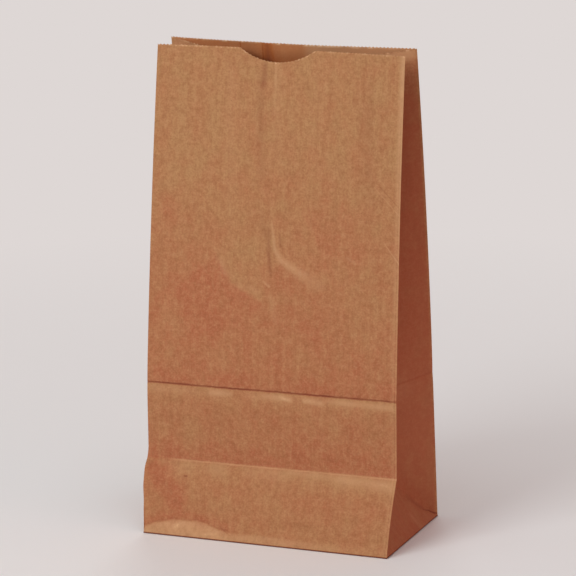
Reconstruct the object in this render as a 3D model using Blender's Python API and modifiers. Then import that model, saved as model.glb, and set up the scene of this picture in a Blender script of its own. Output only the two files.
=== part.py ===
"""Brown paper lunch bag with a self-opening base.

One sheet of kraft paper is rolled into a flat tube with a pleat down each side, glued along a lap on
the back, pinked across the mouth and folded shut at the bottom. The script works on that sheet the
way the bag machine does: every point has a place on the flat sheet, given by the panel it is on, its
distance across that panel and its height up the paper, and fold() carries it to its place on the
opened bag. The paper's thickness, the glued lap and the base flaps are added to the folded sheet.

The bag stands on z = 0, its front faces -Y and its width runs along X. Lengths are in metres and
angles in degrees.
"""

import math

import bmesh
import bpy
import numpy as np

# The bag, opened
WIDTH = 0.1524
DEPTH = 0.0889
PAPER_LENGTH = 0.2830
PAPER = 0.00025

# How far it has opened and how it stands
FRONT_FOLD_INSET = 0.0153
MOUTH_GAP = 0.0178
MOUTH_SHIFT = 0.0021
MOUTH_TWIST = -2.2
WAIST_TWIST = 0.7
BASE_BULGE = 0.0018
FRONT_BULGE = 0.0010
BACK_BULGE = 0.0030
FRONT_PINCH = 0.0040
BACK_PINCH = 0.0060

# The cut edge of the mouth
TOOTH_PITCH = 0.00212
TOOTH_DEPTH = 0.0006
NOTCH_WIDTH = 0.0460
NOTCH_DEPTH = 0.0075
NOTCH_OFFSET = -0.0028

# Glued laps
SEAM_OFFSET = -0.0230
SEAM_LAP = 0.0140
BASE_LAP = 0.0140

# The dent in the lower left corner of the front
DENT_OFFSET = -0.0500
DENT_WIDTH = 0.0580
DENT_HEIGHT = 0.0105
DENT_DEPTH = 0.0032
DENT_FADE = 0.0220

# The same corner's upright edge, which the folds left standing out
CORNER_TUCK = 0.0026
CORNER_TUCK_HEIGHT = 0.0280
CORNER_STAND = 0.0036
CORNER_STAND_FROM = 0.0200
CORNER_FADE = 0.0050
CORNER_REACH = 0.0060
CORNER_SLANT = 0.80

# The valley that the press leaves along the upper crosswise fold
VALLEY_DEPTH = 0.0008
VALLEY_REACH = 0.0060

# How finely the sheet is divided
CELL = 0.0080
ROW = 0.0120
MOUTH_BAND = 0.0110
SLIVER = 0.0030
SMOOTH_ANGLE = 2.5
TINY = 1e-6

PAPER_COLOUR = (0.42, 0.215, 0.105, 1.0)
PAPER_ROUGHNESS = 0.85

HALF_WIDTH = WIDTH / 2
GUSSET = DEPTH / 2
BASE_Z = 2 * PAPER

# The panels in their order round the tube, and the other patches that the paper is marked with
FRONT, RIGHT_FRONT, RIGHT_BACK, BACK, LEFT_BACK, LEFT_FRONT = range(6)
SEAM, SIDE_FLAP, UNDER_FLAP, OUTER_FLAP = range(6, 10)
PANEL_WIDTHS = (WIDTH, GUSSET, GUSSET, WIDTH, GUSSET, GUSSET)


def clear_scene():
    """Remove every object that the file opened with."""
    for thing in list(bpy.data.objects):
        bpy.data.objects.remove(thing, do_unlink=True)


def bulge(position, start, end, height):
    """A shallow parabola: nothing at start and end, height half way between them."""
    part = np.clip((position - start) / (end - start), 0.0, 1.0)
    return 4.0 * height * part * (1.0 - part)


def front_line(s):
    """Depth and height of the front panel's side edges, s up the paper from the base.

    The panel leans back from the base to the first crosswise fold, stands upright to the second
    and leans back again to the mouth. Each stretch keeps its length of paper.
    """
    fold_y = -GUSSET + FRONT_FOLD_INSET
    mouth_y = MOUTH_SHIFT - MOUTH_GAP / 2
    marks = np.array([0.0, GUSSET, DEPTH, PAPER_LENGTH])
    depths = np.array([-GUSSET, fold_y, fold_y, mouth_y])
    rises = np.sqrt(np.diff(marks) ** 2 - np.diff(depths) ** 2)
    heights = BASE_Z + np.concatenate([[0.0], np.cumsum(rises)])
    y = np.interp(s, marks, depths)
    y = y - bulge(s, 0.0, GUSSET, BASE_BULGE) - bulge(s, DEPTH, PAPER_LENGTH, FRONT_BULGE)
    return y, np.interp(s, marks, heights)


def back_line(s):
    """Depth and height of the back panel's side edges: one lean with a slow bulge."""
    mouth_y = MOUTH_SHIFT + MOUTH_GAP / 2
    rise = math.sqrt(PAPER_LENGTH ** 2 - (GUSSET - mouth_y) ** 2)
    part = s / PAPER_LENGTH
    y = GUSSET + (mouth_y - GUSSET) * part + bulge(s, 0.0, PAPER_LENGTH, BACK_BULGE)
    return y, BASE_Z + rise * part


def pleat_line(s):
    """Place of the right pleat's inner fold, measured from the bag's side edges.

    Each half of the pleat is half the depth wide, so the fold lies inward of the edges by the third
    side of a right triangle on that width and half the gap. Its foot is the tip of the base's side
    triangle, as high as half the gap there.
    """
    front_y, _ = front_line(s)
    back_y, _ = back_line(s)
    inward = np.sqrt(np.maximum(GUSSET ** 2 - ((back_y - front_y) / 2) ** 2, 0.0))
    foot_front, _ = front_line(GUSSET)
    foot_back, _ = back_line(GUSSET)
    foot = (foot_back - foot_front) / 2
    return inward, (front_y + back_y) / 2, BASE_Z + foot + (s - GUSSET)


def corner_dent(x, s):
    """How far the front is pushed in at its lower left corner.

    An arched crease rises from the base edge. Below it the paper slopes out to the base, and above
    it the push fades away up the panel.
    """
    across = (x - DENT_OFFSET) / (DENT_WIDTH / 2)
    arch = DENT_HEIGHT * np.maximum(1.0 - across ** 2, 0.0)
    below = s / np.maximum(arch, TINY)
    above = 1.0 - (s - arch) / DENT_FADE
    push = np.where(s < arch, below, np.clip(above, 0.0, 1.0))
    return DENT_DEPTH * arch / DENT_HEIGHT * push


def corner_move(s):
    """How the front's lower left edge departs from its line, s up the paper.

    Its foot is drawn in, and the stretch under the lower crosswise fold stands forward, so that the
    edge runs nearly upright to that fold and comes back to its line just above it.
    """
    tuck = CORNER_TUCK * np.clip(1.0 - s / CORNER_TUCK_HEIGHT, 0.0, 1.0)
    marks = [CORNER_STAND_FROM, GUSSET - CORNER_FADE, GUSSET + CORNER_FADE]
    stand = np.interp(s, marks, [0.0, CORNER_STAND, 0.0])
    return np.stack([tuck, -stand, np.zeros_like(tuck)], axis=-1)


def corner_share(u, s):
    """How much of that move reaches a point of the front u in from the edge.

    It falls to nothing along a slanted line, which runs down and inward from the fold's end.
    """
    reach = CORNER_REACH + CORNER_SLANT * np.maximum(GUSSET - s, 0.0)
    return np.clip(1.0 - u / reach, 0.0, 1.0)


def pressed_valley(x, s):
    """How far the front dips along its upper crosswise fold: a V that ends at the side edges."""
    across = np.clip((HALF_WIDTH - np.abs(x)) / VALLEY_REACH, 0.0, 1.0)
    return VALLEY_DEPTH * across * np.maximum(1.0 - np.abs(s - DEPTH) / VALLEY_REACH, 0.0)


def panel_point(x, s, line, pinch):
    """A point of the front or back panel, with the mouth's middle drawn in by the pinch."""
    y, z = line(s)
    rise = np.clip((s - DEPTH) / (PAPER_LENGTH - DEPTH), 0.0, 1.0)
    y = y + pinch * rise ** 2 * (1.0 - (x / HALF_WIDTH) ** 2)
    return np.stack([x, y, z], axis=-1)


def pleat_point(side, line, v, s):
    """A point of one half of a pleat, v in from the bag's side edge.

    Above the side triangle the half is a straight strip from the edge to the inner fold. Below it,
    a diagonal fold runs from the base's corner to the triangle's tip, and the strip has one flat
    triangle on each side of it.
    """
    edge_y, edge_z = line(s)
    inward, fold_y, fold_z = pleat_line(s)
    t = v / GUSSET
    strip = np.stack(
        [
            side * (HALF_WIDTH - inward * t),
            edge_y + (fold_y - edge_y) * t,
            edge_z + (fold_z - edge_z) * t,
        ],
        axis=-1,
    )
    foot_inward, foot_y, foot_z = pleat_line(np.float64(GUSSET))
    corner_y, _ = line(np.float64(0.0))
    corner = np.array([side * HALF_WIDTH, corner_y, BASE_Z])
    middle = np.array([side * HALF_WIDTH, 0.0, BASE_Z])
    tip = np.array([side * (HALF_WIDTH - foot_inward), foot_y, foot_z])
    below_y, below_z = line(np.maximum(s - v, 0.0))
    edge = np.stack([np.full_like(below_y, side * HALF_WIDTH), below_y, below_z], axis=-1)
    r = (s / GUSSET)[..., None]
    t = t[..., None]
    upper = edge + t * (tip - corner)
    lower = corner + (t - r) * (middle - corner) + r * (tip - corner)
    foot = np.where(t <= r, upper, lower)
    return np.where(s[..., None] < GUSSET, foot, strip)


def turned(points, s):
    """The bag's slow twist: each level turned about the upright axis."""
    marks = [0.0, GUSSET, DEPTH, PAPER_LENGTH]
    angle = np.radians(np.interp(s, marks, [0.0, WAIST_TWIST, WAIST_TWIST, MOUTH_TWIST]))
    x, y, z = points[..., 0], points[..., 1], points[..., 2]
    return np.stack(
        [x * np.cos(angle) - y * np.sin(angle), x * np.sin(angle) + y * np.cos(angle), z],
        axis=-1,
    )


def fold(panel, u, s):
    """Carry points of the flat sheet to the opened bag.

    u is the distance across the panel, counted the way round the bag that goes from the front's
    left edge to its right, and s is the height up the paper.
    """
    u, s = np.broadcast_arrays(np.asarray(u, float), np.asarray(s, float))
    if panel == FRONT:
        x = u - HALF_WIDTH
        points = panel_point(x, s, front_line, FRONT_PINCH)
        points[..., 1] += corner_dent(x, s) + pressed_valley(x, s)
        points += corner_move(s) * corner_share(u, s)[..., None]
    elif panel == BACK:
        points = panel_point(HALF_WIDTH - u, s, back_line, -BACK_PINCH)
    elif panel == RIGHT_FRONT:
        points = pleat_point(1.0, front_line, u, s)
    elif panel == RIGHT_BACK:
        points = pleat_point(1.0, back_line, GUSSET - u, s)
    elif panel == LEFT_BACK:
        points = pleat_point(-1.0, back_line, u, s)
    else:
        points = pleat_point(-1.0, front_line, GUSSET - u, s)
        points += corner_move(s) * (u / GUSSET)[..., None]
    return turned(points, s)


def notch_depth(x):
    """Depth of the thumb notch below the mouth's edge: a shallow arc of a circle."""
    half = NOTCH_WIDTH / 2
    radius = (half ** 2 + NOTCH_DEPTH ** 2) / (2 * NOTCH_DEPTH)
    across = np.clip(x - NOTCH_OFFSET, -half, half)
    return np.sqrt(radius ** 2 - across ** 2) - (radius - NOTCH_DEPTH)


def half_tooth(panel):
    """Half the pitch of the pinking, stretched a little so that a tip falls on each fold."""
    width = PANEL_WIDTHS[panel]
    return width / round(width / TOOTH_PITCH) / 2


def tooth_marks(panel, left, right):
    """The tips and roots of the teeth that lie between two places across a panel."""
    half = half_tooth(panel)
    first = math.floor(left / half + TINY) + 1
    return half * np.arange(first, math.ceil(right / half - TINY))


def mouth_height(panel, u):
    """Height of the cut edge at u: the pinking's zigzag, and the thumb notch in the front."""
    down = np.abs((u / half_tooth(panel) + 1.0) % 2.0 - 1.0)
    s = PAPER_LENGTH - TOOTH_DEPTH * down
    if panel == FRONT:
        s = s - notch_depth(u - HALF_WIDTH)
    return s


def panel_marks(panel):
    """Where the sheet is divided across a panel: even cells, and the two edges of the seam."""
    width = PANEL_WIDTHS[panel]
    marks = np.linspace(0.0, width, round(width / CELL) + 1)
    if panel == BACK:
        seam = HALF_WIDTH - SEAM_OFFSET
        edges = [seam - SEAM_LAP / 2, seam + SEAM_LAP / 2]
        keep = [mark for mark in marks if min(abs(mark - edge) for edge in edges) > SLIVER]
        marks = np.array(sorted(keep + edges))
    return marks


def row_marks():
    """Where the sheet is divided up its length, up to the band that holds the mouth's edge."""
    square = len(panel_marks(RIGHT_FRONT))
    top = PAPER_LENGTH - MOUTH_BAND
    rows = round((top - DEPTH) / ROW)
    return np.concatenate(
        [
            np.linspace(0.0, GUSSET, square),
            np.linspace(GUSSET, DEPTH, square)[1:],
            np.linspace(DEPTH, top, rows + 1)[1:],
        ]
    )


def cell_patch(panel, left, right):
    """The patch that a cell of a panel belongs to: the panel's own, or the seam's."""
    from_seam = (left + right) / 2 - (HALF_WIDTH - SEAM_OFFSET)
    return SEAM if panel == BACK and abs(from_seam) < SEAM_LAP / 2 else panel


def cell_faces(panel, step, row, corners):
    """One cell as a face, or as two where the side triangle's diagonal fold crosses it."""
    a, b, c, d = corners
    square = len(panel_marks(RIGHT_FRONT)) - 1
    if panel in (RIGHT_FRONT, LEFT_BACK) and row == step:
        return [(a, b, c), (a, c, d)]
    if panel in (RIGHT_BACK, LEFT_FRONT) and row == square - 1 - step:
        return [(a, b, d), (b, c, d)]
    return [(a, b, c, d)]


def tube():
    """The six panels from the base to the pinked mouth: points, faces, patches and base edges.

    Points run up one column of the sheet after another. The band under the mouth has one face to a
    column, with a corner at every tooth.
    """
    rows = row_marks()
    columns = [(panel, u) for panel in range(6) for u in panel_marks(panel)[:-1]]
    starts = [columns.index((panel, 0.0)) for panel in range(6)]
    levels = [np.append(rows, mouth_height(panel, u)) for panel, u in columns]
    points = [p for (panel, u), s in zip(columns, levels) for p in fold(panel, u, s).tolist()]
    high = len(rows) + 1
    faces, patches = [], []
    for column, (panel, u) in enumerate(columns):
        step = column - starts[panel]
        right = panel_marks(panel)[step + 1]
        near = column * high
        far = (column + 1) % len(columns) * high
        made = []
        for row in range(len(rows) - 1):
            corners = (near + row, far + row, far + row + 1, near + row + 1)
            made += cell_faces(panel, step, row, corners)
        teeth = tooth_marks(panel, u, right)
        first = len(points)
        points += fold(panel, teeth, mouth_height(panel, teeth)).tolist()
        edge = range(first + len(teeth) - 1, first - 1, -1)
        made.append((near + high - 2, far + high - 2, far + high - 1, *edge, near + high - 1))
        faces += made
        patches += [cell_patch(panel, u, right)] * len(made)
    ring = [column * high for column in range(len(columns))] + [0]
    ends = starts[1:] + [len(columns)]
    feet = [ring[start:end + 1] for start, end in zip(starts, ends)]
    return points, faces, patches, feet


def folded_sheet():
    """The folded sheet as an open surface: the tube, and the flaps that close its base.

    The two side flaps are triangles with their tips inward. The front and back flaps have slanted
    ends that follow those triangles, and they meet under the middle of the lap.
    """
    points, faces, patches, feet = tube()
    reach = HALF_WIDTH - GUSSET
    slant = BASE_LAP / 2
    first = len(points)
    for x, y in ((reach, 0.0), (reach - slant, -slant), (slant - reach, -slant), (-reach, 0.0)):
        points.append([x, y, BASE_Z])
    knots = [first, first + 1, first + 2, first + 3]
    right = feet[RIGHT_FRONT] + feet[RIGHT_BACK][1:]
    left = feet[LEFT_BACK] + feet[LEFT_FRONT][1:]
    faces += [
        (*right[::-1], knots[0]),
        (*left[::-1], knots[-1]),
        (*feet[FRONT][::-1], *knots[::-1]),
        (*feet[BACK][::-1], *knots),
    ]
    patches += [SIDE_FLAP, SIDE_FLAP, UNDER_FLAP, OUTER_FLAP]
    sheet = bpy.data.meshes.new("sheet")
    sheet.from_pydata(points, [], faces)
    layer = sheet.attributes.new("patch", "INT", "FACE")
    layer.data.foreach_set("value", patches)
    return sheet


def with_thickness(sheet):
    """Give the folded sheet its thickness on the inside, and return the solid's mesh."""
    body = bpy.data.objects.new("sheet", sheet)
    bpy.context.scene.collection.objects.link(body)
    wall = body.modifiers.new("paper", "SOLIDIFY")
    wall.thickness = PAPER
    wall.offset = -1.0
    wall.use_even_offset = True
    wall.use_quality_normals = True
    bpy.context.view_layer.update()
    depsgraph = bpy.context.evaluated_depsgraph_get()
    solid = bpy.data.meshes.new_from_object(body.evaluated_get(depsgraph))
    bpy.data.objects.remove(body, do_unlink=True)
    return solid


def raised(bm, faces, move):
    """Raise a group of faces by one paper: an extrusion with a wall all round it."""
    made = bmesh.ops.extrude_face_region(bm, geom=faces)["geom"]
    bmesh.ops.delete(bm, geom=faces, context="FACES")
    verts = [part for part in made if isinstance(part, bmesh.types.BMVert)]
    bmesh.ops.translate(bm, verts=verts, vec=move)
    return [part for part in made if isinstance(part, bmesh.types.BMFace)]


def add_laps(solid):
    """Add the papers that lie over others: the glued seam down the back and the base's flaps.

    Only the outer side of a patch is raised. On the back it looks to +Y, and on the base down.
    """
    bm = bmesh.new()
    bm.from_mesh(solid)
    bm.normal_update()
    layer = bm.faces.layers.int["patch"]
    seam = [face for face in bm.faces if face[layer] == SEAM and face.normal.y > abs(face.normal.z)]
    raised(bm, seam, (0.0, PAPER, 0.0))
    down = [face for face in bm.faces if -face.normal.z > abs(face.normal.y)]
    lowered = raised(bm, [f for f in down if f[layer] in (UNDER_FLAP, OUTER_FLAP)], (0.0, 0.0, -PAPER))
    raised(bm, [face for face in lowered if face[layer] == OUTER_FLAP], (0.0, 0.0, -PAPER))
    bmesh.ops.recalc_face_normals(bm, faces=bm.faces)
    bm.to_mesh(solid)
    bm.free()


def kraft_paper():
    """Unbleached kraft paper: brown, matt, not metallic."""
    material = bpy.data.materials.new("kraft_paper")
    material.use_nodes = True
    shader = material.node_tree.nodes["Principled BSDF"]
    shader.inputs["Base Color"].default_value = PAPER_COLOUR
    shader.inputs["Roughness"].default_value = PAPER_ROUGHNESS
    shader.inputs["Metallic"].default_value = 0.0
    return material


def build():
    """Make the bag in a collection of its own."""
    clear_scene()
    home = bpy.data.collections.new("brown_paper_lunch_bag")
    bpy.context.scene.collection.children.link(home)
    solid = with_thickness(folded_sheet())
    add_laps(solid)
    solid.materials.clear()
    solid.materials.append(kraft_paper())
    solid.shade_smooth()
    solid.set_sharp_from_angle(angle=math.radians(SMOOTH_ANGLE))
    bag = bpy.data.objects.new("paper_bag", solid)
    home.objects.link(bag)


build()
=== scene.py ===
"""A brown paper lunch bag, standing open: its folded kraft paper, a pale studio floor and soft light."""

import math

import bmesh
import bpy
import numpy as np
from mathutils import Matrix, Vector


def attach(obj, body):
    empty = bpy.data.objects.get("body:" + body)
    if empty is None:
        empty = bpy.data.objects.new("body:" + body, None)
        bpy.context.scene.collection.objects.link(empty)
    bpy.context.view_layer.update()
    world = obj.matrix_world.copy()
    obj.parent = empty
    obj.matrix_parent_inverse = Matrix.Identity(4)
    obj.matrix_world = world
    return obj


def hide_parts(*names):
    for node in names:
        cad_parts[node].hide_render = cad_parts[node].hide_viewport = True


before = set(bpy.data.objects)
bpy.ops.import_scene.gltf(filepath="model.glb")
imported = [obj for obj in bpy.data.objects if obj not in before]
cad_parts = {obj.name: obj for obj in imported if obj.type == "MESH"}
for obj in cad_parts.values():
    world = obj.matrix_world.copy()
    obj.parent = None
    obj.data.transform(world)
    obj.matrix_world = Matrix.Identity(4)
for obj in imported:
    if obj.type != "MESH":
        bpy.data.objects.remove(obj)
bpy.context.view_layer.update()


# The flat tube.
# The bag starts as one sheet of unbleached kraft paper, rolled into a flat tube with a pleat down each
# side. A place on it is u, the way round from the front's left edge, and s, the height up the paper.

WIDTH = 0.1524
DEPTH = 0.0889
LENGTH = 0.2830
PAPER = 0.00025
HALF_WIDTH = WIDTH / 2
GUSSET = DEPTH / 2
BASE_Z = 2 * PAPER

FRONT, RIGHT_FRONT, RIGHT_BACK, BACK, LEFT_BACK, LEFT_FRONT = range(6)
PANEL_WIDTHS = (WIDTH, GUSSET, GUSSET, WIDTH, GUSSET, GUSSET)
PANEL_STARTS = np.cumsum((0.0,) + PANEL_WIDTHS)
AROUND = PANEL_STARTS[-1]
TINY = 1e-9


def smooth_step(value, start, end):
    """Nothing before start, one after end, and three squares less two cubes of the share between."""
    part = np.clip((value - start) / (end - start), 0.0, 1.0)
    return part * part * (3.0 - 2.0 * part)


def bulge(position, start, end, height):
    """A shallow parabola: nothing at start and end, height half way between them."""
    part = np.clip((position - start) / (end - start), 0.0, 1.0)
    return 4.0 * height * part * (1.0 - part)


# The opened bag.
# Opened by hand, the tube's panels lean in from the flat base to a mouth that is nearly closed again.
# The front stands back at its two crosswise folds, and the whole bag has a slow twist.

FRONT_FOLD_INSET = 0.0153
MOUTH_GAP = 0.0178
MOUTH_SHIFT = 0.0021
MOUTH_TWIST = -2.2
WAIST_TWIST = 0.7
BASE_BULGE = 0.0018
FRONT_BULGE = 0.0010
BACK_BULGE = 0.0030
FRONT_PINCH = 0.0040
BACK_PINCH = 0.0060
DENT_ARCH = ((-0.0800, 0.0025), (-0.0750, 0.0039), (-0.0690, 0.0059), (-0.0600, 0.0080), (-0.0526, 0.0087),
             (-0.0424, 0.0089), (-0.0354, 0.0079), (-0.0297, 0.0063), (-0.0246, 0.0048), (-0.0208, 0.0046),
             (-0.0080, 0.0050), (0.0120, 0.0048), (0.0400, 0.0034), (0.0762, 0.0012))
DENT_END = (-0.0240, -0.0150)
DENT_HEIGHT = 0.0089
DENT_DEPTH = 0.0032
DENT_FADE = 0.0220
CORNER_TUCK = 0.0026
CORNER_TUCK_HEIGHT = 0.0280
CORNER_STAND = 0.0036
CORNER_STAND_FROM = 0.0200
CORNER_FADE = 0.0050
CORNER_REACH = 0.0060
CORNER_SLANT = 0.80
FOLD_ROUND = 0.0006
NORMAL_STEP = 0.0012


def front_line(s):
    """Depth and height of the front's side edges: three straight stretches of paper with slow bulges."""
    fold_y = -GUSSET + FRONT_FOLD_INSET
    marks = np.array([0.0, GUSSET, DEPTH, LENGTH])
    depths = np.array([-GUSSET, fold_y, fold_y, MOUTH_SHIFT - MOUTH_GAP / 2])
    rises = np.sqrt(np.diff(marks) ** 2 - np.diff(depths) ** 2)
    heights = BASE_Z + np.concatenate([[0.0], np.cumsum(rises)])
    y = np.interp(s, marks, depths)
    y = y - bulge(s, 0.0, GUSSET, BASE_BULGE) - bulge(s, DEPTH, LENGTH, FRONT_BULGE)
    return y, np.interp(s, marks, heights)


def back_line(s):
    """Depth and height of the back's side edges: one lean with a slow bulge."""
    mouth_y = MOUTH_SHIFT + MOUTH_GAP / 2
    rise = math.sqrt(LENGTH ** 2 - (GUSSET - mouth_y) ** 2)
    part = s / LENGTH
    return GUSSET + (mouth_y - GUSSET) * part + bulge(s, 0.0, LENGTH, BACK_BULGE), BASE_Z + rise * part


def pleat_line(s):
    """A pleat's inner fold: inward by the third side of a triangle on the pleat's half and half the gap."""
    front_y, _ = front_line(s)
    back_y, _ = back_line(s)
    inward = np.sqrt(np.maximum(GUSSET ** 2 - ((back_y - front_y) / 2) ** 2, 0.0))
    foot_front, _ = front_line(GUSSET)
    foot_back, _ = back_line(GUSSET)
    return inward, (front_y + back_y) / 2, BASE_Z + (foot_back - foot_front) / 2 + (s - GUSSET)


def dent_arch(x):
    """Height of the dent's arched crease and of the lip beyond it: straight lines between its points."""
    along, height = np.array(DENT_ARCH).T
    return np.interp(x, along, height)


def dent_share(x):
    """One on the dent's side of its right end, and nothing past it."""
    return 1.0 - smooth_step(x, *DENT_END)


def corner_dent(x, s):
    """The push-in at the front's lower left: an arched crease, a slope below it and a slow fade above."""
    arch = dent_arch(x)
    above = np.clip(1.0 - (s - arch) / DENT_FADE, 0.0, 1.0)
    return DENT_DEPTH * dent_share(x) * arch / DENT_HEIGHT * np.where(s < arch, s / arch, above)


def corner_move(s):
    """The front's lower left edge: its foot drawn in, and the stretch under the lower fold standing out."""
    tuck = CORNER_TUCK * np.clip(1.0 - s / CORNER_TUCK_HEIGHT, 0.0, 1.0)
    marks = [CORNER_STAND_FROM, GUSSET - CORNER_FADE, GUSSET + CORNER_FADE]
    stand = np.interp(s, marks, [0.0, CORNER_STAND, 0.0])
    return np.stack([tuck, -stand, np.zeros_like(tuck)], axis=-1)


def corner_share(across, s):
    """The share of that move across the front: one at the edge, nothing past a line that slants down."""
    reach = CORNER_REACH + CORNER_SLANT * np.maximum(GUSSET - s, 0.0)
    return np.clip(1.0 - across / reach, 0.0, 1.0)


def panel_point(x, s, line, pinch):
    """A point of the front or back: its side edges' line, drawn in at the middle of the mouth."""
    y, z = line(s)
    rise = np.clip((s - DEPTH) / (LENGTH - DEPTH), 0.0, 1.0)
    return np.stack([x, y + pinch * rise ** 2 * (1.0 - (x / HALF_WIDTH) ** 2), z], axis=-1)


def pleat_point(side, line, v, s):
    """A point of one half of a pleat: a straight strip, and below it two triangles on a diagonal fold."""
    edge_y, edge_z = line(s)
    inward, fold_y, fold_z = pleat_line(s)
    t = v / GUSSET
    x = side * (HALF_WIDTH - inward * t)
    strip = np.stack([x, edge_y + (fold_y - edge_y) * t, edge_z + (fold_z - edge_z) * t], axis=-1)
    foot_inward, foot_y, foot_z = pleat_line(np.float64(GUSSET))
    corner = np.array([side * HALF_WIDTH, line(np.float64(0.0))[0], BASE_Z])
    middle = np.array([side * HALF_WIDTH, 0.0, BASE_Z])
    tip = np.array([side * (HALF_WIDTH - foot_inward), foot_y, foot_z])
    below_y, below_z = line(np.maximum(s - v, 0.0))
    edge = np.stack([np.full_like(below_y, side * HALF_WIDTH), below_y, below_z], axis=-1)
    r = (s / GUSSET)[..., None]
    t = t[..., None]
    upper = edge + t * (tip - corner)
    lower = corner + (t - r) * (middle - corner) + r * (tip - corner)
    return np.where(s[..., None] < GUSSET, np.where(t <= r, upper, lower), strip)


def bag_point(u, s):
    """Where a place on the tube lies on the opened bag, with sharp folds: its panel's point, twisted."""
    u = u % AROUND
    panel = np.searchsorted(PANEL_STARTS[1:-1], u, side="right")
    v = u - PANEL_STARTS[panel]
    points = np.zeros(u.shape + (3,))
    for number in range(6):
        here = panel == number
        across, up = v[here], s[here]
        if number == FRONT:
            place = panel_point(across - HALF_WIDTH, up, front_line, FRONT_PINCH)
            place[..., 1] += corner_dent(across - HALF_WIDTH, up)
            place += corner_move(up) * corner_share(across, up)[..., None]
        elif number == BACK:
            place = panel_point(HALF_WIDTH - across, up, back_line, -BACK_PINCH)
        elif number in (RIGHT_FRONT, RIGHT_BACK):
            from_edge = across if number == RIGHT_FRONT else GUSSET - across
            place = pleat_point(1.0, front_line if number == RIGHT_FRONT else back_line, from_edge, up)
        else:
            from_edge = across if number == LEFT_BACK else GUSSET - across
            place = pleat_point(-1.0, back_line if number == LEFT_BACK else front_line, from_edge, up)
            if number == LEFT_FRONT:
                place += corner_move(up) * (across / GUSSET)[..., None]
        points[here] = place
    turns = [0.0, WAIST_TWIST, WAIST_TWIST, MOUTH_TWIST]
    angle = np.radians(np.interp(s, [0.0, GUSSET, DEPTH, LENGTH], turns))
    x, y = points[..., 0].copy(), points[..., 1].copy()
    points[..., 0] = x * np.cos(angle) - y * np.sin(angle)
    points[..., 1] = x * np.sin(angle) + y * np.cos(angle)
    return points


def rounded_point(u, s):
    """The bag with its folds rounded: the mean of the sharp bag over a small square of paper."""
    reach = np.clip(np.minimum(s, LENGTH - s), 0.0, FOLD_ROUND)
    steps = np.linspace(-1.0, 1.0, 5)
    total = np.zeros(u.shape + (3,))
    for across in steps:
        for up in steps:
            total += bag_point(u + across * FOLD_ROUND, s + up * reach)
    return total / steps.size ** 2


def outward(u, s):
    """The way out of the paper: the cross product of a small step round the bag and one up it."""
    across = bag_point(u + NORMAL_STEP, s) - bag_point(u - NORMAL_STEP, s)
    up = bag_point(u, np.minimum(s + NORMAL_STEP, LENGTH)) - bag_point(u, np.maximum(s - NORMAL_STEP, 0.0))
    out = np.cross(across, up)
    return out / np.maximum(np.linalg.norm(out, axis=-1, keepdims=True), TINY)


# Creases and wrinkles.
# The bag was folded flat at the factory, base turned up against the front, and handled since. Its two
# crosswise folds are pressed valleys, and the front has soft buckles from being opened by hand.

MM = 0.001
WAVE_SEED = 7
FOLD_SEED = 10
RUB_SEED = 11
SEAM_SIDE = -0.0130
SEAM_LINE = WIDTH + DEPTH + HALF_WIDTH - SEAM_SIDE
UPPER_VALLEY = (0.62 * MM, 6.5 * MM, 4.0 * MM)
UPPER_GROOVE = (0.26 * MM, 0.5 * MM, 0.4 * MM)
LOWER_VALLEY = (0.34 * MM, 5.0 * MM, 2.0 * MM)

# The paper's unevenness: each layer's height in millimetres, its wavelength in metres and its waves.
WAVE_LAYERS = ((0.17, 0.060, 9), (0.050, 0.017, 14), (0.012, 0.005, 16))

# Two wrinkles that the redness and its painted shade follow too, in millimetres from the front's middle and up
# the paper.
FACET_EDGE = ((-38, 171), (-31, 160), (-24.5, 149.5), (-15, 144.5), (-3, 139))
CORNER_VALLEY = ((-75.8, 43), (-63, 28), (-52, 13))

# Each wrinkle: its path in millimetres from the front's middle and up the paper, its height, how far it
# slopes away to the left and to the right of the path, and how much lighter its crest is coloured, partly rubbed
# paper and partly painted highlight, or below nothing how much darker, painted shade along a valley.
WRINKLES = (
    (((-1.9, 188), (-1.3, 184), (-0.1, 177), (1.1, 170.5), (3.7, 166.2), (8, 163.4), (14, 160.4)),
     0.60, 2.6, 2.0, 0.10),
    (((2, 168.4), (6, 164.6), (13, 160.6), (21, 156.6), (31, 152)), 0.50, 5.0, 4.2, 0.06),
    (((-4.0, 194), (-3.4, 172), (-1.6, 155)), -0.45, 3.0, 1.8, -0.10),
    (((3.4, 179), (4.6, 172), (8.0, 166.5)), -0.20, 1.4, 1.4, -0.05),
    (FACET_EDGE, 0.60, 9.0, 5.0, 0.12),
    (((-1.5, 146), (1.6, 136), (7.0, 122)), 0.26, 3.4, 3.8, 0.06),
    (((-13.5, 283), (-10.5, 235), (-7.0, 190)), -0.36, 5.0, 5.0, -0.18),
    (((-31, 283), (-28.5, 225), (-25.5, 172)), 0.36, 8.0, 7.0, 0.12),
    (((-1.5, 283), (-1.0, 240), (0.5, 205)), 0.26, 6.0, 6.0, 0.10),
    (CORNER_VALLEY, -0.70, 5.5, 4.5, -0.10),
    (((26, 284), (22, 240), (25, 200)), 0.22, 7.0, 7.0, 0.06),
    (((52, 284), (55, 230), (58, 170)), -0.26, 8.0, 8.0, -0.12),
    (((165, 1), (158, 6), (150, 11), (141, 20)), -0.50, 2.4, 2.4, -0.18),
)


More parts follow.
